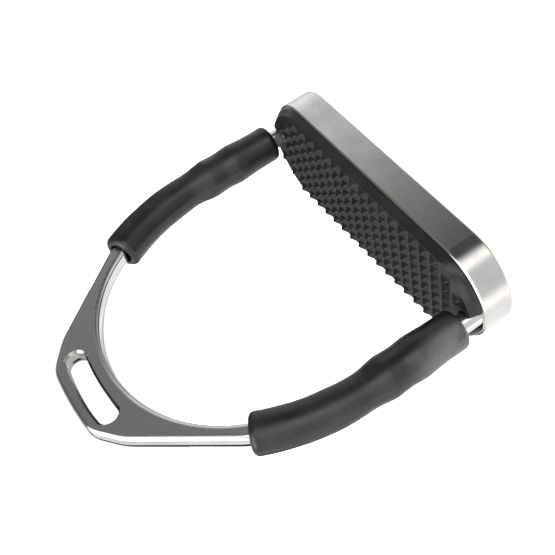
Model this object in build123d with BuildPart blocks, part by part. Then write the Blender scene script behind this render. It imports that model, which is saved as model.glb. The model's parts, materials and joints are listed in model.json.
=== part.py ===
from build123d import *
import os
from math import cos, radians, sin

# Flexible (double-jointed) riding stirrup iron, standing on its tread.
# Millimetres. +Z up, X across the stirrup from side to side, Y fore and aft.
# Origin: middle of the tread frame's underside. "right" is the +X side.

# ---- Driving dimensions ----
branch_x = 64.3            # centre line of each branch beside the tread
arc_start_z = 62.0         # the branches are straight below this height
arc_r = 92.0               # centre-line radius of the curved arms above it
rod_r = 3.3                # round part of the arms
bow_t = 7.5                # thickness of the bow, front to back
bow_edge_r = 2.2           # rolled edge all round the bow

frame_half_l = 69.5        # half of the tread frame's length
frame_half_w = 23.05       # half of its width
frame_straight = 48.5      # its long sides are straight to here, then the ends are half ellipses
frame_h = 13.3
wall_t = 2.6
frame_edge_r = 0.9         # rolled top and bottom edges

pitch_x = 6.25             # pyramid pitch along the tread
pitch_y = 5.5              # pyramid pitch across it
pad_floor_z = 17.7         # floor that the pyramids stand on
pyramid_h = 2.3
pad_inset = 0.7            # from the frame's outside to the pad's side

upper_pin_z = 54.5
lower_pin_z = 41.5
pin_r = 1.8
pin_clear = 0.05           # radial running clearance in each link

sleeve_r = 8.2
sleeve_low_z = 21.7        # lower end of each sleeve
sleeve_end_angle = 28.6    # where each sleeve ends on the arm's arc, in degrees

sides = {"right": 1, "left": -1}
arc_cx = branch_x - arc_r  # centre of the right arm's arc
end_rx = frame_half_l - frame_straight


def arc_point(angle, radius=arc_r):
    """Point in the XZ plane on the right arm's arc, or on a circle parallel to it."""
    return (arc_cx + radius * cos(radians(angle)), arc_start_z + radius * sin(radians(angle)))


def arm_plane(angle):
    """Plane across the right arm, at an angle along its arc, facing up the arm."""
    x, z = arc_point(angle)
    return Plane(origin=(x, 0, z), x_dir=(0, 1, 0), z_dir=(-sin(radians(angle)), 0, cos(radians(angle))))


def arm_path(low_z, end_angle):
    """Centre line of the right arm: straight up to its arc, then round it."""
    with BuildLine() as path:
        Line((branch_x, 0, low_z), (branch_x, 0, arc_start_z))
        x, z = arc_point(end_angle)
        mid_x, mid_z = arc_point(end_angle / 2)
        ThreePointArc((branch_x, 0, arc_start_z), (mid_x, 0, mid_z), (x, 0, z))
    return path.line


def on_side(right_part, side):
    """A right-hand piece as it stands, or mirrored for the left."""
    return right_part if side > 0 else right_part.mirror(Plane.YZ)


def tread_outline(inset, end_inset=None):
    """Oblong outline of the tread with half-elliptical ends, moved inwards."""
    end_reach = end_rx - (inset if end_inset is None else end_inset)
    with BuildSketch() as outline:
        Rectangle(2 * frame_straight, 2 * (frame_half_w - inset))
        for side in sides.values():
            with Locations((side * frame_straight, 0)):
                Ellipse(end_reach, frame_half_w - inset)
    return outline.sketch


# ---- Knuckles ----
ear_r = 4.1                # round end of each fork ear and link eye
fork_w = 9.0               # across the fork, along its pin
fork_round_r = 5.4         # the fork is turned down to this radius
fork_depth = 4.9           # from the pin to the bottom of the fork's slot
fork_neck = 6.6            # from the pin to the round rod
link_t = 3.2               # thickness of the link's blade
link_gap = 0.15            # clearance on each side of the blade in its fork
pin_head_r = 2.5
pin_head_t = 0.5


def fork(pin_z, up):
    """Forked rod end round a pin along X. up is 1 when the fork opens upwards, -1 downwards."""
    neck_z = pin_z - up * fork_neck
    tip_z = pin_z + up * ear_r
    with BuildPart() as end:
        with BuildSketch(Plane.YZ.offset(branch_x - fork_w / 2)) as side_view:
            with Locations((0, pin_z)):
                Circle(ear_r)
            with Locations((0, (pin_z + neck_z) / 2)):
                Rectangle(2 * ear_r, fork_neck)
        extrude(amount=fork_w)
        with BuildSketch(Plane.XY.offset(min(neck_z, tip_z))) as turned:
            with Locations((branch_x, 0)):
                Circle(fork_round_r)
        extrude(amount=abs(tip_z - neck_z), mode=Mode.INTERSECT)
        with BuildSketch(Plane.XY.offset(pin_z - up * fork_depth)) as slot:
            with Locations((branch_x, 0)):
                Rectangle(link_t + 2 * link_gap, 4 * ear_r)
        extrude(amount=up * (fork_depth + 2 * ear_r), mode=Mode.SUBTRACT)
        with BuildSketch(Plane.YZ.offset(branch_x - fork_w)) as pin_bore:
            with Locations((0, pin_z)):
                Circle(pin_r)
        extrude(amount=2 * fork_w, mode=Mode.SUBTRACT)
    return end.part


def link():
    """Flat double-eyed link between the two pins of the right branch."""
    with BuildPart() as blade:
        with BuildSketch(Plane.YZ.offset(branch_x - link_t / 2)) as profile:
            with Locations((0, (upper_pin_z + lower_pin_z) / 2)):
                SlotCenterToCenter(upper_pin_z - lower_pin_z, 2 * ear_r, rotation=90)
            with Locations((0, upper_pin_z), (0, lower_pin_z)):
                Circle(pin_r + pin_clear, mode=Mode.SUBTRACT)
        extrude(amount=link_t)
    return blade.part


def rivet(pin_z):
    """Headed rivet along X through the right branch's fork and link."""
    with BuildPart() as pin:
        with BuildSketch(Plane.YZ.offset(branch_x - fork_w / 2)) as shaft:
            with Locations((0, pin_z)):
                Circle(pin_r)
        extrude(amount=fork_w)
        for head_x in (branch_x - fork_w / 2 - pin_head_t, branch_x + fork_w / 2):
            with BuildSketch(Plane.YZ.offset(head_x)) as head:
                with Locations((0, pin_z)):
                    Circle(pin_head_r)
            extrude(amount=pin_head_t)
    return pin.part


# ---- Bow ----
slot_half = 18.2           # half of the leather slot's length
slot_low_z = 141.6         # its lower edge, at the middle
slot_high_z = 150.0        # its upper edge, at the middle
slot_drop = 1.6            # how far both edges fall towards the ends
slot_corner_r = 3.8
slot_bevel = 0.9           # small bevel round the slot

crown_z = 154.7            # top of the bow
crown_end = (16.6, 153.8)  # where the crown turns down to the shoulder
crown_end_r = 13.0
shoulder = (27.4, 145.3)   # where the shoulder turns into the straight flank
shoulder_r = 30.0
arch_top_z = 135.0         # inside of the bow, at the middle
arm_half_w = 3.5           # half width of the flat arms where they reach the rods
arm_start_angle = 30.0     # the flank and the arch run into the arms here
arm_end_angle = 25.0       # the flat arms end here, just inside the sleeves
arm_blend_r = 25.0


def corner_at(points, place):
    """The corner of a sketch nearest to a place in its plane."""
    return points.sort_by(lambda v: (v.X - place[0]) ** 2 + (v.Y - place[1]) ** 2)[0]


def bow_outline():
    """The bow's flat outline in the XZ plane, down to the ends of its flat arms."""
    flank_end = arc_point(arm_start_angle, arc_r + arm_half_w)
    arch_end = arc_point(arm_start_angle, arc_r - arm_half_w)
    mid_angle = (arm_start_angle + arm_end_angle) / 2
    with BuildSketch(Plane.XZ) as outline:
        with BuildLine():
            ThreePointArc((-crown_end[0], crown_end[1]), (0, crown_z), crown_end)
            ThreePointArc((-arch_end[0], arch_end[1]), (0, arch_top_z), arch_end)
            for side in sides.values():
                Polyline(
                    [(side * x, z) for x, z in (crown_end, shoulder, flank_end)]
                )
                arm_ends = []
                for radius in (arc_r + arm_half_w, arc_r - arm_half_w):
                    edge = [arc_point(angle, radius) for angle in (arm_start_angle, mid_angle, arm_end_angle)]
                    edge = [(side * x, z) for x, z in edge]
                    ThreePointArc(*edge)
                    arm_ends.append(edge[-1])
                Line(*arm_ends)
        make_face()
        bends = (
            (crown_end, crown_end_r),
            (shoulder, shoulder_r),
            (flank_end, arm_blend_r),
            (arch_end, arm_blend_r),
        )
        for place, radius in bends:
            for side in sides.values():
                fillet(corner_at(outline.vertices(), (side * place[0], place[1])), radius)
    return outline.sketch


def leather_slot():
    """Arched slot outline in the XZ plane."""
    low_end_z = slot_low_z - slot_drop
    high_end_z = slot_high_z - slot_drop
    with BuildSketch(Plane.XZ) as outline:
        with BuildLine():
            ThreePointArc((-slot_half, low_end_z), (0, slot_low_z), (slot_half, low_end_z))
            Line((slot_half, low_end_z), (slot_half, high_end_z))
            ThreePointArc((slot_half, high_end_z), (0, slot_high_z), (-slot_half, high_end_z))
            Line((-slot_half, high_end_z), (-slot_half, low_end_z))
        make_face()
        fillet(outline.vertices(), slot_corner_r)
    return outline.sketch


def on_flat_face(edge):
    """Whether an edge lies on the bow's front or back face."""
    return abs(edge.center().Y) > bow_t / 2 - 0.01


def in_slot(edge):
    """Whether an edge of the bow's face belongs to the leather slot."""
    middle = edge.center()
    return abs(middle.X) < slot_half + 0.1 and slot_low_z - 2.0 < middle.Z < slot_high_z + 0.1


def round_arm():
    """Round part of the right arm, from its fork up into the flat bow."""
    path = arm_path(upper_pin_z + fork_neck - 0.5, arm_end_angle + 2)
    with BuildPart() as arm:
        with BuildSketch(Plane.XY.offset(upper_pin_z + fork_neck - 0.5)) as section:
            with Locations((branch_x, 0)):
                Circle(rod_r)
        sweep(path=path)
    return arm.part


with BuildPart() as yoke:
    extrude(bow_outline(), amount=bow_t / 2, both=True)
    rims = yoke.edges().filter_by(on_flat_face)
    fillet(rims.filter_by(lambda e: abs(e.length - 2 * arm_half_w) > 0.01), bow_edge_r)
    extrude(leather_slot(), amount=bow_t, both=True, mode=Mode.SUBTRACT)
    slot_rims = yoke.edges().filter_by(on_flat_face).filter_by(in_slot)
    chamfer(slot_rims, slot_bevel)
    for side in sides.values():
        add(on_side(round_arm(), side))
        add(on_side(fork(upper_pin_z, -1), side))

# ---- Tread ----
plate_low_z = 7.6
plate_high_z = 10.2
window_l = 14.0            # openings in the tread plate that the pad's blocks lock into
window_w = 26.0
window_pitch = 19.5
window_count = 5
boss_x = 59.0              # the frame is solid beyond this, round each shank
boss_half_w = 6.0
shank_base_r = 4.0
shank_taper_z = 27.0       # the shank is slimmer above this, inside the sleeve
shank_foot_z = 1.5


def window_places():
    """Middles of the tread plate's openings."""
    return GridLocations(window_pitch, 0, window_count, 1)


with BuildPart() as tread_frame:
    extrude(tread_outline(0), amount=frame_h)
    fillet(tread_frame.edges(), frame_edge_r)
    extrude(tread_outline(wall_t), amount=frame_h, mode=Mode.SUBTRACT)
    for side in sides.values():
        with BuildSketch() as boss:
            with Locations((side * (boss_x + wall_t), 0)):
                Rectangle(2 * wall_t, 2 * boss_half_w)
            with Locations((side * branch_x, 0)):
                Rectangle(2 * (branch_x - boss_x), 2 * boss_half_w)
            add(tread_outline(wall_t / 2), mode=Mode.INTERSECT)
        extrude(amount=frame_h - frame_edge_r)
    with Locations((branch_x, 0, shank_foot_z), (-branch_x, 0, shank_foot_z)):
        Cylinder(
            shank_base_r, frame_h, align=(Align.CENTER, Align.CENTER, Align.MIN), mode=Mode.SUBTRACT
        )

with BuildPart() as tread_plate:
    with BuildSketch(Plane.XY.offset(plate_low_z)) as plate_shape:
        add(tread_outline(wall_t))
        Rectangle(2 * boss_x, 2 * frame_half_w, mode=Mode.INTERSECT)
        with window_places():
            RectangleRounded(window_l, window_w, 2.5, mode=Mode.SUBTRACT)
    extrude(amount=plate_high_z - plate_low_z)


def shank():
    """Right shank: a stub in the frame's end that rises to a fork round the lower pin."""
    with BuildPart() as stub:
        with BuildSketch(Plane.XY.offset(shank_foot_z)) as base:
            with Locations((branch_x, 0)):
                Circle(shank_base_r)
        extrude(amount=shank_taper_z - shank_foot_z)
        with BuildSketch(Plane.XY.offset(shank_taper_z)) as slim:
            with Locations((branch_x, 0)):
                Circle(rod_r)
        extrude(amount=lower_pin_z - fork_neck + 0.5 - shank_taper_z)
        add(fork(lower_pin_z, 1))
    return stub.part


# ---- Pad ----
pad_clear = 0.15           # between the pad and the steel that holds it
pad_floor_inset = 0.95     # the pad's sides lean in to this at its floor
pad_floor_end_inset = 3.0  # and its rounded ends to this
notch_clear = 0.6          # gap round each shank
row_counts = (16, 18, 20, 18, 18, 20, 18, 16)
pyramid_valley = 0.25      # flat bottom of the grooves between pyramids
pyramid_tip = 0.5          # small flat on each tip


def pyramid_places():
    """Middles of the pyramids, row by row."""
    places = []
    for row, count in enumerate(row_counts):
        y = (row - (len(row_counts) - 1) / 2) * pitch_y
        places += [((i - (count - 1) / 2) * pitch_x, y) for i in range(count)]
    return places


def pyramid():
    """One pyramid at the origin, sunk a little into the pad's floor."""
    with BuildPart() as point:
        with BuildSketch() as base:
            Rectangle(pitch_x - pyramid_valley, pitch_y - pyramid_valley)
        with BuildSketch(Plane.XY.offset(pyramid_h)) as tip:
            Rectangle(pyramid_tip, pyramid_tip)
        loft()
    return point.part


with BuildPart() as tread_pad:
    with BuildSketch(Plane.XY.offset(frame_h)) as pad_foot:
        add(tread_outline(pad_inset))
    with BuildSketch(Plane.XY.offset(pad_floor_z)) as pad_floor:
        add(tread_outline(pad_floor_inset, pad_floor_end_inset))
    loft()
    with BuildSketch(Plane.XY.offset(plate_high_z + pad_clear)) as plug:
        add(tread_outline(wall_t + pad_clear))
        Rectangle(2 * (boss_x - pad_clear), 2 * frame_half_w, mode=Mode.INTERSECT)
    extrude(amount=frame_h - plate_high_z)
    with BuildSketch(Plane.XY.offset(plate_low_z)) as blocks:
        with window_places():
            RectangleRounded(window_l - 2 * pad_clear, window_w - 2 * pad_clear, 2.4)
    extrude(amount=frame_h - plate_low_z)
    spike = pyramid()
    with Locations([(x, y, pad_floor_z - 0.01) for x, y in pyramid_places()]):
        add(spike)
    for side in sides.values():
        with BuildSketch(Plane.XY.offset(plate_low_z)) as notch:
            with Locations((side * branch_x, 0)):
                Circle(shank_base_r + notch_clear)
            with Locations((side * (branch_x + end_rx / 2), 0)):
                Rectangle(end_rx, 2 * (shank_base_r + notch_clear))
        extrude(amount=frame_h, mode=Mode.SUBTRACT)

# ---- Sleeves ----
sleeve_end_r = 2.4
sleeve_chamber_r = 5.9     # room for the knuckles
sleeve_chamber = (31.0, 64.0)
sleeve_shank_r = 4.3       # bore over the shank
sleeve_arm_r = 3.6         # bore over the round arm
sleeve_mouth_r = 4.9       # bore over the end of the flat arm
sleeve_mouth_angle = 24.3


def sleeve():
    """Right rubber sleeve: a tube along the branch, bored to fit what runs inside it."""
    with BuildPart() as tube:
        with BuildSketch(Plane.XY.offset(sleeve_low_z)) as outside:
            with Locations((branch_x, 0)):
                Circle(sleeve_r)
        sweep(path=arm_path(sleeve_low_z, sleeve_end_angle))
        rims = tube.edges().filter_by(GeomType.CIRCLE).filter_by(
            lambda e: abs(e.radius - sleeve_r) < 0.01
        )
        fillet([rims.sort_by(Axis.Z)[0], rims.sort_by(Axis.Z)[-1]], sleeve_end_r)
        with BuildSketch(Plane.XY.offset(sleeve_low_z)) as arm_bore:
            with Locations((branch_x, 0)):
                Circle(sleeve_arm_r)
        sweep(path=arm_path(sleeve_low_z, sleeve_end_angle), mode=Mode.SUBTRACT)
        with BuildSketch(Plane.XY.offset(sleeve_low_z)) as shank_bore:
            with Locations((branch_x, 0)):
                Circle(sleeve_shank_r)
        extrude(amount=sleeve_chamber[0] - sleeve_low_z, mode=Mode.SUBTRACT)
        with BuildSketch(Plane.XY.offset(sleeve_chamber[0])) as chamber:
            with Locations((branch_x, 0)):
                Circle(sleeve_chamber_r)
        extrude(amount=sleeve_chamber[1] - sleeve_chamber[0], mode=Mode.SUBTRACT)
        with BuildSketch(arm_plane(sleeve_mouth_angle)) as mouth:
            Circle(sleeve_mouth_r)
        extrude(amount=12, mode=Mode.SUBTRACT)
    return tube.part


# ---- Named pieces ----
pieces = {
    "yoke": yoke.part,
    "tread_frame": tread_frame.part,
    "tread_plate": tread_plate.part,
    "tread_pad": tread_pad.part,
}
for side_name, side in sides.items():
    pieces["link_" + side_name] = on_side(link(), side)
    pieces["upper_pin_" + side_name] = on_side(rivet(upper_pin_z), side)
    pieces["lower_pin_" + side_name] = on_side(rivet(lower_pin_z), side)
    pieces["shank_" + side_name] = on_side(shank(), side)
    pieces["sleeve_" + side_name] = on_side(sleeve(), side)

os.makedirs("parts", exist_ok=True)
for name, piece in pieces.items():
    piece.label = name
    export_step(piece, "parts/" + name + ".step")
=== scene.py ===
import json
import math

import bpy
import numpy as np
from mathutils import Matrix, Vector
from mathutils.geometry import delaunay_2d_cdt


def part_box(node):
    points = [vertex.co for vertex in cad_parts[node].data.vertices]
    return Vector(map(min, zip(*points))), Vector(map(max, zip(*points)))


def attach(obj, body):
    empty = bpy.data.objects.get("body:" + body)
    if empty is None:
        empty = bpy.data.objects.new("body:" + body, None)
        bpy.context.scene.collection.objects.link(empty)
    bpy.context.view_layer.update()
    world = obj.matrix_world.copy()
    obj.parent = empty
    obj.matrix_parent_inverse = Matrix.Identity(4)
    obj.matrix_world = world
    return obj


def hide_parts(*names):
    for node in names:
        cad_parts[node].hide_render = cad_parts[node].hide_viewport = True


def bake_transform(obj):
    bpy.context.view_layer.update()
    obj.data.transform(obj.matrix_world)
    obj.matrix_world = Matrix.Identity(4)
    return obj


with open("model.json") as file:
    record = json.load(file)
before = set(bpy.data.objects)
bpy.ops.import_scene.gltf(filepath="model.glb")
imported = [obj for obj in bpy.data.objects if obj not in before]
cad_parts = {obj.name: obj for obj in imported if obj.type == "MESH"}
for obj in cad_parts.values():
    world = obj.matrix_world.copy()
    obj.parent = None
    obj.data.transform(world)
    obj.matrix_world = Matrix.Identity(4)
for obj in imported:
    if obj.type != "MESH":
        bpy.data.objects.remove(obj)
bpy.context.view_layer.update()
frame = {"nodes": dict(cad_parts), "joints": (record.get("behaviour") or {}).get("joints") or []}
nodes = frame["nodes"]
SIDES = {"right": 1.0, "left": -1.0}
MM = 0.001


def cad(node, corner, axis):
    """One side of a CAD node's box in millimetres. Corner 0 is the lowest and 1 the highest."""
    return round(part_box(node)[corner][axis] / MM, 3)


PIN_Z = {joint["name"]: round(joint["pos_m"][2] / MM, 3) for joint in frame["joints"]}

# ---------------------------------------------------------------- camera
camera = bpy.data.objects.new("camera", bpy.data.cameras.new("camera"))
bpy.context.scene.collection.objects.link(camera)
camera.rotation_mode = "QUATERNION"
camera.rotation_quaternion = (-0.145764, -0.458010, -0.433109, 0.762494)
camera.location = (-0.202482, -0.279111, 0.133154)
camera.data.lens = 57.089
camera.data.sensor_width = 36.0
camera.data.clip_start = 0.01
camera.data.clip_end = 50.0
bpy.context.scene.camera = camera


# ---------------------------------------------------------------- node helpers
class Graph:
    """Short calls for building one node tree."""

    def __init__(self, tree):
        self.tree = tree
        tree.nodes.clear()

    def node(self, kind):
        return self.tree.nodes.new("ShaderNode" + kind)

    def link(self, source, target):
        self.tree.links.new(source, target)

    def feed(self, socket, value):
        """Sets a socket to a number or a colour, or links an output to it."""
        if isinstance(value, (int, float)):
            socket.default_value = value
        elif isinstance(value, tuple):
            socket.default_value = (*value, 1.0)
        else:
            self.link(value, socket)

    def span(self, value, low, high, to_low=0.0, to_high=1.0, smooth=True):
        """value mapped from low..high to to_low..to_high, clamped."""
        n = self.node("MapRange")
        n.interpolation_type = "SMOOTHSTEP" if smooth else "LINEAR"
        ends = {"From Min": low, "From Max": high, "To Min": to_low, "To Max": to_high}
        for key, number in ends.items():
            n.inputs[key].default_value = number
        self.link(value, n.inputs["Value"])
        return n.outputs["Result"]

    def math(self, operation, a, b=None):
        n = self.node("Math")
        n.operation = operation
        self.feed(n.inputs[0], a)
        if b is not None:
            self.feed(n.inputs[1], b)
        return n.outputs[0]

    def blend(self, factor, a, b):
        """Number a at factor 0 and b at factor 1."""
        n = self.node("Mix")
        n.data_type = "FLOAT"
        self.link(factor, n.inputs[0])
        self.feed(n.inputs[2], a)
        self.feed(n.inputs[3], b)
        return n.outputs[0]

    def tint(self, factor, a, b):
        """Colour a at factor 0 and b at factor 1."""
        n = self.node("Mix")
        n.data_type = "RGBA"
        self.link(factor, n.inputs[0])
        self.feed(n.inputs[6], a)
        self.feed(n.inputs[7], b)
        return n.outputs[2]

    def noise(self, where, size, detail=3.0, stretch=(1.0, 1.0, 1.0), roughness=0.5):
        """Noise with features about size metres across, longer along an axis whose stretch is above 1."""
        scaling = self.node("Mapping")
        scaling.inputs["Scale"].default_value = [1.0 / (size * s) for s in stretch]
        self.link(where, scaling.inputs["Vector"])
        n = self.node("TexNoise")
        n.inputs["Scale"].default_value = 1.0
        n.inputs["Detail"].default_value = detail
        n.inputs["Roughness"].default_value = roughness
        self.link(scaling.outputs[0], n.inputs["Vector"])
        return n.outputs[0]

    def bump(self, height, distance, strength=1.0, under=None):
        n = self.node("Bump")
        n.inputs["Strength"].default_value = strength
        n.inputs["Distance"].default_value = distance
        self.link(height, n.inputs["Height"])
        if under is not None:
            self.link(under, n.inputs["Normal"])
        return n.outputs[0]


def material(name, **shader_values):
    """New material with one Principled shader. Returns (material, graph, shader, object coordinates node)."""
    made = bpy.data.materials.new(name)
    made.use_nodes = True
    g = Graph(made.node_tree)
    shader = g.node("BsdfPrincipled")
    out = g.node("OutputMaterial")
    g.link(shader.outputs[0], out.inputs["Surface"])
    for key, value in shader_values.items():
        shader.inputs[key.replace("_", " ")].default_value = value
    return made, g, shader, g.node("TexCoord")


# ---------------------------------------------------------------- materials
WALL_ROUNDING = (0.0021, -150.0)     # depth behind the bow's middle plane, and how hard it rounds there
SLOT_MIDDLE_Z = 0.1450
SLOT_EDGE_X = (0.0189, 0.0196)       # the painted shade inside the slot fades out between these
SLOT_EDGE_Z = (0.0058, 0.0064)
SLOT_SHADE_LEVEL = 0.50                     # how much of the steel's colour is left under the painted shade in the slot


def steel(name, colour, rough, along=(12.0, 1.0, 1.0), round_walls=False):
    """Satin stainless steel with fine brushing, faint smears and scratches.
    With round_walls, the walls between the front and back faces are polished and rounded off, and the walls
    inside the slot are darkened as painted shade."""
    made, g, shader, where = material(name, Metallic=1.0)
    place = where.outputs["Object"]
    smear = g.noise(place, 0.014, 4.0)
    brushing = g.noise(place, 0.00035, 2.0, along)
    scratches = g.noise(place, 0.0011, 2.0, (0.12, 9.0, 3.0))
    dark = tuple(c * 0.86 for c in colour)
    surface = g.tint(g.span(smear, 0.35, 0.7), colour, dark)
    uneven = g.span(smear, 0.3, 0.7, rough - 0.03, rough + 0.05)
    roughness = g.math("ADD", uneven, g.math("MULTIPLY", brushing, 0.05))
    crowned = None
    if round_walls:
        facing = g.node("SeparateXYZ")
        g.link(where.outputs["Normal"], facing.inputs[0])
        flat = g.span(g.math("ABSOLUTE", facing.outputs["Y"]), 0.80, 0.985)
        roughness = g.math("MULTIPLY", roughness, g.span(flat, 0.0, 1.0, 0.45, 1.0))
        parts = g.node("SeparateXYZ")
        g.link(place, parts.inputs[0])
        reach, fall = WALL_ROUNDING
        depth = g.span(parts.outputs["Y"], 0.0, reach, 0.0, reach, smooth=False)
        crowned = g.bump(g.math("MULTIPLY", g.math("MULTIPLY", depth, depth), fall), 1.0)
        # painted shade: the walls inside the slot are darkened where shade falls in it
        near_x = g.math("ABSOLUTE", parts.outputs["X"])
        near_z = g.math("ABSOLUTE", g.math("SUBTRACT", parts.outputs["Z"], SLOT_MIDDLE_Z))
        near_x = g.span(near_x, *SLOT_EDGE_X, 1.0, 0.0)
        near_z = g.span(near_z, *SLOT_EDGE_Z, 1.0, 0.0)
        near = g.math("MULTIPLY", near_x, near_z)
        painted_slot_shade = g.math("MULTIPLY", near, g.math("SUBTRACT", 1.0, flat))
        surface = g.tint(painted_slot_shade, surface, tuple(c * SLOT_SHADE_LEVEL for c in colour))
    g.link(surface, shader.inputs["Base Color"])
    g.link(roughness, shader.inputs["Roughness"])
    height = g.math("ADD", g.math("MULTIPLY", brushing, 0.5), g.math("MULTIPLY", scratches, 0.35))
    g.link(g.bump(height, 0.00002, 0.12, crowned), shader.inputs["Normal"])
    return made


def rubber(name, colour, dusty, rough, shine, highlight_patch=None):
    """Black rubber with a fine grain, faint dust and an optional painted highlight.
    The optional patch is (place, reach, colour): one pale patch of painted highlight, longer along Z."""
    made, g, shader, where = material(name, Specular_IOR_Level=shine)
    place = where.outputs["Object"]
    dust = g.noise(place, 0.011, 5.0, roughness=0.62)
    specks = g.noise(place, 0.0016, 3.0)
    fine = g.noise(place, 0.0004, 2.0)
    amount = g.math("MULTIPLY", g.span(dust, 0.45, 0.75), g.span(specks, 0.35, 0.7, 0.4, 1.0))
    surface = g.tint(amount, colour, dusty)
    if highlight_patch is not None:
        # painted highlight: a pale patch lightens the rubber where light from -X falls on it
        centre, reach, pale = highlight_patch
        offset = place
        for operation, values in (("SUBTRACT", centre), ("MULTIPLY", (1.0, 1.0, 0.6)), ("LENGTH", None)):
            step = g.node("VectorMath")
            step.operation = operation
            g.link(offset, step.inputs[0])
            if values is not None:
                step.inputs[1].default_value = values
            offset = step.outputs["Value" if operation == "LENGTH" else "Vector"]
        patch = g.span(offset, reach * 0.2, reach, 1.0, 0.0)
        painted_highlight = g.math("MULTIPLY", patch, g.span(dust, 0.3, 0.6, 0.5, 1.0))
        surface = g.tint(painted_highlight, surface, pale)
    g.link(surface, shader.inputs["Base Color"])
    g.link(g.span(dust, 0.35, 0.75, rough - 0.05, rough + 0.12), shader.inputs["Roughness"])
    low = g.bump(g.noise(place, 0.006, 3.0), 0.0003, 0.5)
    g.link(g.bump(fine, 0.00004, 0.5, low), shader.inputs["Normal"])
    return made


yoke_steel = steel("yoke_steel", (0.62, 0.62, 0.60), 0.22, round_walls=True)
frame_steel = steel("frame_steel", (0.62, 0.61, 0.57), 0.14)
plate_steel = steel("plate_steel", (0.52, 0.52, 0.51), 0.36)
shank_steel = steel("shank_steel", (0.68, 0.68, 0.67), 0.16, along=(1.0, 1.0, 9.0))
joint_steel = steel("joint_steel", (0.50, 0.50, 0.50), 0.30, along=(1.0, 1.0, 9.0))
pad_rubber = rubber("pad_rubber", (0.007, 0.007, 0.008), (0.015, 0.015, 0.017), 0.34, 0.32)
# the -X sleeve gets a pale patch of painted highlight on its outer side, low down
sleeve_rubber = rubber("sleeve_rubber", (0.006, 0.006, 0.007), (0.016, 0.016, 0.017), 0.34, 0.40,
                       highlight_patch=((-0.0735, -0.003, 0.030), 0.014, (0.080, 0.080, 0.081)))


def paint(obj, made):
    """Gives an object one material."""
    obj.data.materials.clear()
    obj.data.materials.append(made)


REPLACED = ("tread_pad", "sleeve_right", "sleeve_left")  # built in detail below
NODE_STEEL = {
    "yoke": yoke_steel, "tread_frame": frame_steel, "tread_plate": plate_steel,
    "shank_right": shank_steel, "shank_left": shank_steel,
}
for name, obj in nodes.items():
    if name not in REPLACED:
        paint(obj, NODE_STEEL.get(name, joint_steel))


# ---------------------------------------------------------------- meshes
def new_object(name, points, faces, sharp=None):
    """Mesh object from points in millimetres. Edges sharper than sharp degrees stay crisp."""
    mesh = bpy.data.meshes.new(name)
    mesh.from_pydata([tuple(float(c) * MM for c in p) for p in points], [], faces)
    mesh.polygons.foreach_set("use_smooth", [True] * len(mesh.polygons))
    if sharp is not None:
        mesh.set_sharp_from_angle(angle=math.radians(sharp))
    obj = bpy.data.objects.new(name, mesh)
    bpy.context.scene.collection.objects.link(obj)
    return obj


def strips(rings, closed=False):
    """Quads between rings of point numbers, each ring closed on itself."""
    pairs = list(zip(rings, rings[1:]))
    if closed:
        pairs.append((rings[-1], rings[0]))
    return [(a[i], a[(i + 1) % len(a)], b[(i + 1) % len(a)], b[i]) for a, b in pairs for i in range(len(a))]


# ---------------------------------------------------------------- sleeves
# millimetres from here on
BRANCH_X = (cad("link_right", 0, 0) + cad("link_right", 1, 0)) / 2
ARC_START_Z = 62.0         # the branches are straight up to here
ARC_R = 92.0               # and lean in on this radius above it
SLEEVE_LOW_Z = cad("sleeve_right", 0, 2)
SLEEVE_LENGTH = ARC_START_Z - SLEEVE_LOW_Z + ARC_R * math.radians(28.6)
SPLIT_Z = (PIN_Z["lower_flex"] + PIN_Z["upper_flex"]) / 2  # a sleeve's two halves meet here
END_ROUND = 2.3
LIP = 0.4                  # bevel at the mouth of the bore
OUTSIDE_STEP = 0.8
BORE_STEP = 2.0

# distance along the sleeve from its lower end, and the radius there
SLEEVE_OUTSIDE = (
    (0.0, 8.15), (6.0, 8.1), (12.0, 8.2), (16.0, 8.45), (20.0, 8.72), (23.5, 8.5), (26.3, 8.32),
    (30.0, 8.45), (33.0, 8.66), (36.5, 8.3), (40.0, 7.75), (43.5, 7.55), (48.0, 7.68), (56.0, 7.9),
    (64.0, 7.88), (76.0, 8.02), (SLEEVE_LENGTH, 8.1),
)
SLEEVE_BORE = (
    (0.0, 4.35), (6.0, 4.3), (9.0, 5.0), (11.5, 6.1), (38.0, 6.1), (43.0, 5.4), (46.0, 3.7),
    (77.0, 3.7), (80.5, 4.7), (SLEEVE_LENGTH, 4.95),
)


def smooth_curve(points, where):
    """Smooth curve through points, read at where."""
    xs, ys = (np.array(column) for column in zip(*points))
    slopes = np.gradient(ys, xs)
    slopes[0] = slopes[-1] = 0.0
    i = int(np.clip(np.searchsorted(xs, where) - 1, 0, len(xs) - 2))
    h = xs[i + 1] - xs[i]
    t = (where - xs[i]) / h
    rise = ys[i] * (2 * t**3 - 3 * t**2 + 1) + ys[i + 1] * (3 * t**2 - 2 * t**3)
    return float(rise + h * (slopes[i] * (t**3 - 2 * t**2 + t) + slopes[i + 1] * (t**3 - t**2)))


def walk(curve, start, end, step, skip_first=False):
    """(distance, radius) along a curve from start to end."""
    places = np.linspace(start, end, int(abs(end - start) / step))
    return [(float(s), smooth_curve(curve, s)) for s in places[int(skip_first) :]]


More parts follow.
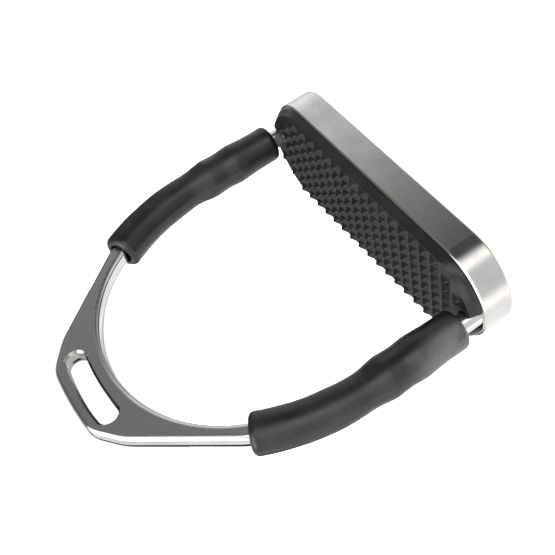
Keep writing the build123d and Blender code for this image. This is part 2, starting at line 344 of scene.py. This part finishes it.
def sleeve_profile():
    """(distance along, radius, whether outside) from the lower lip, up the outside, and down the bore."""
    split = SPLIT_Z - SLEEVE_LOW_Z
    bends = [math.radians(a) for a in range(0, 91, 10)]

    def rounded(s, angle):
        return s, smooth_curve(SLEEVE_OUTSIDE, s) - END_ROUND * (1 - math.cos(angle))

    outside = [rounded(END_ROUND * (1 - math.sin(a)), a) for a in bends[:0:-1]]
    outside += walk(SLEEVE_OUTSIDE, END_ROUND, split, OUTSIDE_STEP)
    outside += walk(SLEEVE_OUTSIDE, split, SLEEVE_LENGTH - END_ROUND, OUTSIDE_STEP, skip_first=True)
    outside += [rounded(SLEEVE_LENGTH - END_ROUND * (1 - math.sin(a)), a) for a in bends[1:]]
    top = smooth_curve(SLEEVE_BORE, SLEEVE_LENGTH)
    bottom = smooth_curve(SLEEVE_BORE, 0.0)
    bore = [(SLEEVE_LENGTH, top + LIP), (SLEEVE_LENGTH - 0.12, top + 0.12)]
    bore += walk(SLEEVE_BORE, SLEEVE_LENGTH - LIP, split, BORE_STEP)
    bore += walk(SLEEVE_BORE, split, LIP, BORE_STEP, skip_first=True)
    bore += [(0.12, bottom + 0.12), (0.0, bottom + LIP)]
    return [(s, r, 1.0) for s, r in outside] + [(s, r, 0.0) for s, r in bore]


def sleeve_halves(side_name, side):
    """The lower and upper half of a rubber sleeve, each closed, with normals that join smoothly."""
    around = 72
    profile = sleeve_profile()
    turn = np.arange(around) * 2 * math.pi / around
    straight = ARC_START_Z - SLEEVE_LOW_Z
    grid = np.zeros((len(profile), around, 3))
    for k, (s, radius, soft) in enumerate(profile):
        angle = max(s - straight, 0.0) / ARC_R
        # hand-fitted rubber is never quite round or even
        wobble = 0.04 * np.sin(2 * turn + 0.11 * s + side)
        wobble = wobble + 0.03 * np.sin(3 * turn - 0.17 * s + 2 * side)
        wobble += 0.03 * math.sin(0.43 * s + 1.3 * side) * np.cos(turn)
        out = (radius + soft * wobble) * np.cos(turn)
        grid[k, :, 0] = BRANCH_X - ARC_R + (ARC_R + out) * math.cos(angle)
        grid[k, :, 1] = (radius + soft * wobble) * np.sin(turn)
        grid[k, :, 2] = SLEEVE_LOW_Z + min(s, straight) + (ARC_R + out) * math.sin(angle)
    along = np.roll(grid, -1, 0) - np.roll(grid, 1, 0)
    across = np.roll(grid, -1, 1) - np.roll(grid, 1, 1)
    normals = np.cross(across, along)
    normals /= np.linalg.norm(normals, axis=2, keepdims=True)
    grid[:, :, 0] *= side
    normals[:, :, 0] *= side
    split = SPLIT_Z - SLEEVE_LOW_Z
    halves = []
    for half_name, keep in (("lower", lambda s: s <= split + 1e-6), ("upper", lambda s: s >= split - 1e-6)):
        rows = [k for k, (s, _, _) in enumerate(profile) if keep(s)]
        points = grid[rows].reshape(-1, 3)
        rings = [[r * around + i for i in range(around)] for r in range(len(rows))]
        faces = strips(rings, closed=True)
        if side < 0:
            faces = [face[::-1] for face in faces]
        obj = new_object(f"sleeve_{half_name}_{side_name}", points, faces)
        obj.data.normals_split_custom_set_from_vertices([tuple(n) for n in normals[rows].reshape(-1, 3)])
        halves.append(obj)
    return halves


for side_name, side in SIDES.items():
    lower_half, upper_half = sleeve_halves(side_name, side)
    for half, pin_z, bodies in (
        (lower_half, PIN_Z["lower_flex"], ("tread", "side_links")),
        (upper_half, PIN_Z["upper_flex"], ("side_links", "bow")),
    ):
        paint(half, sleeve_rubber)
        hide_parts("sleeve_" + side_name)
        x = side * BRANCH_X * MM
        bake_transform(half)


# ---------------------------------------------------------------- tread pad
FRAME_STRAIGHT = 48.5      # half the straight part of the frame
END_RX = 21.0              # length of its elliptical ends
FRAME_HALF_W = cad("tread_frame", 1, 1)
FRAME_H = cad("tread_frame", 1, 2)
PAD_CLEAR = 0.15           # between the pad and the steel that holds it
WALL = 2.6 + PAD_CLEAR
PAD_FLOOR_Z = 17.7
PYRAMID_H = 2.3
PITCH_X = 6.25
PITCH_Y = 5.5
ROW_COUNTS = (16, 18, 20, 18, 18, 20, 18, 16)
NOTCH_R = 4.6
NOTCH_ROUND = 1.1
PLUG_LOW_Z = round(cad("tread_plate", 1, 2) + PAD_CLEAR, 3)
PLUG_END_X = round(cad("tread_plate", 1, 0) - PAD_CLEAR, 3)
BLOCK_LOW_Z = cad("tread_pad", 0, 2)
BLOCK_PITCH = 19.5
BLOCK_HALF_L, BLOCK_HALF_W, BLOCK_CORNER = 6.85, 12.85, 2.4

# where each pyramid is sampled, from its middle to its rim
SAMPLES = (0.0, 0.07, 0.22, 0.42, 0.60, 0.74, 0.87)


def pad_loop(side_in, end_in, straight=FRAME_STRAIGHT, power=2.0):
    """Plan outline of the pad with its two shank notches, as matching points for any inset.
    A power of 2 makes the ends elliptical and a lower one more pointed."""
    a, b = FRAME_STRAIGHT + END_RX - end_in - straight, FRAME_HALF_W - side_in

    def end_x(y):
        return straight + a * max(0.0, 1 - (y / b) ** power) ** (1 / power)

    quarter = [(x, -b) for x in np.linspace(0.0, straight, 25)[:-1]]
    stop = NOTCH_R + NOTCH_ROUND
    last = math.asin((stop / b) ** (power / 2))
    for t in np.linspace(math.pi / 2, last, 30):
        x = straight + a * max(0.0, math.cos(t)) ** (2 / power)
        quarter.append((x, -b * math.sin(t) ** (2 / power)))
    start, corner = (end_x(stop), -stop), (end_x(NOTCH_R), -NOTCH_R)
    finish = (corner[0] - NOTCH_ROUND, -NOTCH_R)
    for t in np.linspace(0, 1, 7)[1:]:
        weights = ((1 - t) ** 2, 2 * t * (1 - t), t * t)
        quarter.append(tuple(sum(w * p[i] for w, p in zip(weights, (start, corner, finish))) for i in (0, 1)))
    quarter += [(x, -NOTCH_R) for x in np.linspace(finish[0], BRANCH_X, 4)[1:]]
    for t in np.linspace(0, math.pi / 2, 10)[1:]:
        quarter.append((BRANCH_X - NOTCH_R * math.sin(t), -NOTCH_R * math.cos(t)))
    right = quarter + [(x, -y) for x, y in quarter[-2::-1]]
    return right[:-1] + [(-x, y) for x, y in right[::-1][:-1]]


def inside(points, loop):
    """Which 2-D points lie inside a closed loop."""
    points, loop = np.asarray(points, float), np.asarray(loop, float)
    x, y = points[:, 0:1], points[:, 1:2]
    x0, y0 = loop[:, 0], loop[:, 1]
    x1, y1 = np.roll(x0, -1), np.roll(y0, -1)
    edge_x = (x1 - x0) * (y - y0) / np.where(y1 == y0, 1.0, y1 - y0) + x0
    crosses = ((y0 > y) != (y1 > y)) & (x < edge_x)
    return crosses.sum(axis=1) % 2 == 1


def pyramid_height(u, v):
    """Height over a pyramid's square, u and v from -1 to 1, with rounded edges, tip and valleys."""
    valley = 0.42
    rise = max(0.0, 1.0 - (abs(u) ** 14 + abs(v) ** 14) ** (1 / 14))
    rise = rise * rise / (2 * valley) if rise < valley else rise - valley / 2
    return PYRAMID_H * min(1.0, rise / (0.965 - valley / 2))


def build_pad():
    points, faces = [], []

    def add_ring(loop, z):
        ring = list(range(len(points), len(points) + len(loop)))
        points.extend((x, y, z) for x, y in loop)
        return ring

    # sides, from the plug under the rim up to the floor
    plug = pad_loop(WALL, WALL)
    plug = [(max(-PLUG_END_X, min(PLUG_END_X, x)), y) for x, y in plug]
    rings = [add_ring(plug, PLUG_LOW_Z), add_ring(plug, FRAME_H - 0.6)]
    rings.append(add_ring(pad_loop(WALL, WALL), FRAME_H + 0.02))
    # height over the rim, insets at the sides and ends, end of the straight side, power of the ends
    side_steps = (
        (0.02, 1.00, 1.05, 48.5, 2.0), (0.10, 0.80, 0.86, 48.5, 2.0), (0.35, 0.72, 0.80, 48.5, 2.0),
        (1.20, 0.76, 1.00, 48.7, 1.93), (2.20, 0.80, 1.28, 49.1, 1.81), (3.10, 0.84, 1.58, 49.6, 1.67),
        (3.80, 0.87, 1.80, 50.0, 1.57), (4.22, 0.92, 1.94, 50.2, 1.52), (4.40, 0.97, 2.02, 50.3, 1.50),
    )
    for rise, *shape in side_steps:
        rings.append(add_ring(pad_loop(*shape), FRAME_H + rise))
    faces.extend(strips(rings))
    faces.append(tuple(rings[0][::-1]))

    # pyramids on a shared grid
    steps = [-1.0] + [-s for s in SAMPLES[:0:-1]] + list(SAMPLES) + [1.0]
    count = len(steps) - 1
    grid = {}

    def grid_point(i, j, x, y, z):
        if (i, j) not in grid:
            grid[(i, j)] = len(points)
            points.append((x, y, z))
        return grid[(i, j)]

    rows = len(ROW_COUNTS)
    edge_uses = {}
    for row, cells in enumerate(ROW_COUNTS):
        for cell in range(cells):
            column = cell + (max(ROW_COUNTS) - cells) // 2
            centre = ((cell - (cells - 1) / 2) * PITCH_X, (row - (rows - 1) / 2) * PITCH_Y)
            local = [
                [
                    grid_point(
                        column * count + i, row * count + j,
                        centre[0] + u * PITCH_X / 2, centre[1] + v * PITCH_Y / 2,
                        PAD_FLOOR_Z + pyramid_height(u, v),
                    )
                    for j, v in enumerate(steps)
                ]
                for i, u in enumerate(steps)
            ]
            for i in range(count):
                for j in range(count):
                    a, b, c, d = local[i][j], local[i + 1][j], local[i + 1][j + 1], local[i][j + 1]
                    if (i < count // 2) == (j < count // 2):
                        faces.extend([(a, b, c), (a, c, d)])
                    else:
                        faces.extend([(a, b, d), (b, c, d)])
            rim = [local[i][0] for i in range(count)] + [local[count][j] for j in range(count)]
            rim += [local[i][count] for i in range(count, 0, -1)]
            rim += [local[0][j] for j in range(count, 0, -1)]
            for a, b in zip(rim, rim[1:] + rim[:1]):
                edge_uses[(a, b)] = edge_uses.get((a, b), 0) + 1

    # floor between the pyramids and the pad's edge
    border = [edge for edge in edge_uses if (edge[1], edge[0]) not in edge_uses]
    used = rings[-1] + sorted({n for edge in border for n in edge})
    number = {n: i for i, n in enumerate(used)}
    edges = [(number[a], number[b]) for a, b in border]
    edges += [(number[a], number[b]) for a, b in zip(rings[-1], rings[-1][1:] + rings[-1][:1])]
    plan = [Vector(points[n][:2]) for n in used]
    made, _, made_faces, origins, _, _ = delaunay_2d_cdt(plan, edges, [], 0, 1e-5)
    middles = np.array([np.mean([made[i] for i in face], axis=0) for face in made_faces])
    keep = inside(middles, [points[n][:2] for n in rings[-1]])
    row_of = np.floor(middles[:, 1] / PITCH_Y + rows / 2).astype(int)
    halves = np.array([ROW_COUNTS[r] / 2 * PITCH_X if 0 <= r < rows else 0.0 for r in row_of])
    keep &= np.abs(middles[:, 0]) > halves
    for face, kept in zip(made_faces, keep):
        if kept:
            corners = tuple(used[origins[i][0]] for i in face)
            (ax, ay), (bx, by), (cx, cy) = (points[n][:2] for n in corners)
            left = (bx - ax) * (cy - ay) - (by - ay) * (cx - ax) > 0
            faces.append(corners if left else corners[::-1])

    # blocks that lock into the tread plate's windows
    for k in range(-2, 3):
        loop = []
        for quadrant, (sx, sy) in enumerate(((1, 1), (-1, 1), (-1, -1), (1, -1))):
            for step in range(7):
                t = math.radians(90 * quadrant + 15 * step)
                loop.append((
                    BLOCK_PITCH * k + sx * (BLOCK_HALF_L - BLOCK_CORNER) + BLOCK_CORNER * math.cos(t),
                    sy * (BLOCK_HALF_W - BLOCK_CORNER) + BLOCK_CORNER * math.sin(t),
                ))
        low, high = add_ring(loop, BLOCK_LOW_Z), add_ring(loop, PLUG_LOW_Z + 0.3)
        faces.extend(strips([low, high]))
        faces.append(tuple(low[::-1]))
        faces.append(tuple(high))
    return new_object("pad", points, faces, sharp=50)


pad = build_pad()
paint(pad, pad_rubber)
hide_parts("tread_pad")
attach(pad, "tread")


# ---------------------------------------------------------------- stage and light
def stage_object(name, points, faces):
    """Part of the stage, from points in metres."""
    mesh = bpy.data.meshes.new(name)
    mesh.from_pydata(points, [], faces)
    obj = bpy.data.objects.new(name, mesh)
    bpy.context.scene.collection.objects.link(obj)
    return obj


def stage_disc(name, radius, height):
    """Flat round floor."""
    count = 96
    turns = [2 * math.pi * i / count for i in range(count)]
    ring = [(radius * math.cos(t), radius * math.sin(t), height) for t in turns]
    faces = [(0, i + 1, (i + 1) % count + 1) for i in range(count)]
    return stage_object(name, [(0.0, 0.0, height)] + ring, faces)


def stage_dome(name, radius):
    """Pale backdrop all round, seen only by the camera."""
    across, up = 64, 32
    points, faces = [], []
    for j in range(up + 1):
        polar = math.pi * j / up
        for i in range(across):
            turn = 2 * math.pi * i / across
            reach = radius * math.sin(polar)
            points.append((reach * math.cos(turn), reach * math.sin(turn), radius * math.cos(polar)))
    for j in range(up):
        for i in range(across):
            k = (i + 1) % across
            faces.append((j * across + i, j * across + k, (j + 1) * across + k, (j + 1) * across + i))
    return stage_object(name, points, faces)


floor = stage_disc("floor", 6.0, -0.0002)
floor_paint, _, shader, _ = material("floor_paint", Roughness=0.9)
shader.inputs["Base Color"].default_value = (0.90, 0.90, 0.90, 1.0)
shader.inputs["Emission Color"].default_value = (1.0, 1.0, 1.0, 1.0)
shader.inputs["Emission Strength"].default_value = 0.5
paint(floor, floor_paint)
floor.visible_glossy = False
backdrop = stage_dome("backdrop", 7.0)
backdrop_glow = bpy.data.materials.new("backdrop_glow")
backdrop_glow.use_nodes = True
g = Graph(backdrop_glow.node_tree)
glow = g.node("Emission")
glow.inputs["Color"].default_value = (1.0, 1.0, 1.0, 1.0)
glow.inputs["Strength"].default_value = 1.05
g.link(glow.outputs[0], g.node("OutputMaterial").inputs["Surface"])
paint(backdrop, backdrop_glow)
for ray in ("visible_glossy", "visible_diffuse", "visible_shadow", "visible_transmission"):
    setattr(backdrop, ray, False)

# the studio's light by direction, the same for every view: x, y and z are parts of the direction
world = bpy.data.worlds.new("studio")
bpy.context.scene.world = world
world.use_nodes = True
g = Graph(world.node_tree)
direction = g.node("SeparateXYZ")
g.link(g.node("TexCoord").outputs["Generated"], direction.inputs[0])
x, y, z = (direction.outputs[i] for i in range(3))
# in front: dim, rising towards +X, over the bow (level) and over the tread frame (below)
over_bow = g.math("ADD", g.span(x, 0.26, 0.42, 0.11, 0.36), g.span(x, 0.46, 0.56, 0.0, -0.12))
over_bow = g.math("ADD", over_bow, g.span(x, 0.60, 0.76, 0.0, 0.24))
over_bow = g.math("ADD", over_bow, g.span(x, 0.80, 0.95, 0.0, -0.28))
over_frame = g.span(x, 0.46, 0.69, 0.11, 0.84, smooth=False)
over_frame = g.math("ADD", over_frame, g.span(x, 0.58, 0.63, 0.0, 0.44))
front = g.blend(g.span(z, -0.27, -0.12), over_frame, over_bow)
front = g.blend(g.span(z, 0.35, 0.60), front, 0.20)
front = g.blend(g.span(z, -0.80, -0.55), 0.55, front)
beyond_end = g.math("MULTIPLY", g.span(x, 0.80, 0.92), g.span(z, -0.22, -0.10, 1.0, 0.0))
front = g.blend(beyond_end, front, 1.6)
# behind: a bright surround with a dark level band
band = g.math("MULTIPLY", g.span(z, -0.18, -0.06), g.span(z, 0.27, 0.42, 1.0, 0.0))
band = g.math("MULTIPLY", band, g.span(x, -0.40, -0.05))
back = g.blend(g.span(z, 0.40, 0.62), 1.65, 1.1)
back = g.blend(g.span(x, 0.34, 0.52), back, 0.9)
back = g.blend(band, back, 0.06)
depth = g.math("ADD", y, g.span(z, -1.0, -0.2, 0.36, 0.0, smooth=False))
around = g.blend(g.span(depth, 0.05, 0.45), front, back)
# large soft lights on the -X side and above it
level = g.span(z, -0.28, -0.08, 0.80, 2.4)
level = g.blend(g.span(z, -0.37, -0.32), 1.1, level)
level = g.blend(g.span(z, -0.52, -0.45), 0.7, level)
level = g.blend(g.span(z, 0.10, 0.45), level, 1.05)
level = g.math("MULTIPLY", level, g.span(y, -0.84, -0.74, 2.2, 1.0))
softbox = g.math("MULTIPLY", g.span(x, -0.30, 0.08, 1.0, 0.0), level)
softbox = g.math("MULTIPLY", softbox, g.span(y, 0.25, 0.60, 1.0, 0.0))
overhead = g.math("MULTIPLY", g.span(x, -0.10, 0.30, 3.0, 0.0), g.span(z, 0.55, 0.80))
overhead = g.math("MULTIPLY", overhead, g.span(y, 0.15, 0.45, 1.0, 0.0))
softbox = g.math("ADD", softbox, overhead)
glow = g.node("Background")
g.link(g.math("ADD", around, softbox), glow.inputs["Strength"])
g.link(glow.outputs[0], g.node("OutputWorld").inputs["Surface"])

sun = bpy.data.objects.new("top_light", bpy.data.lights.new("top_light", "SUN"))
bpy.context.scene.collection.objects.link(sun)
sun.data.energy = 1.5
sun.data.angle = math.radians(70)
sun.rotation_euler = (math.radians(10), math.radians(-12), 0)

bpy.context.scene.view_settings.view_transform = "Standard"
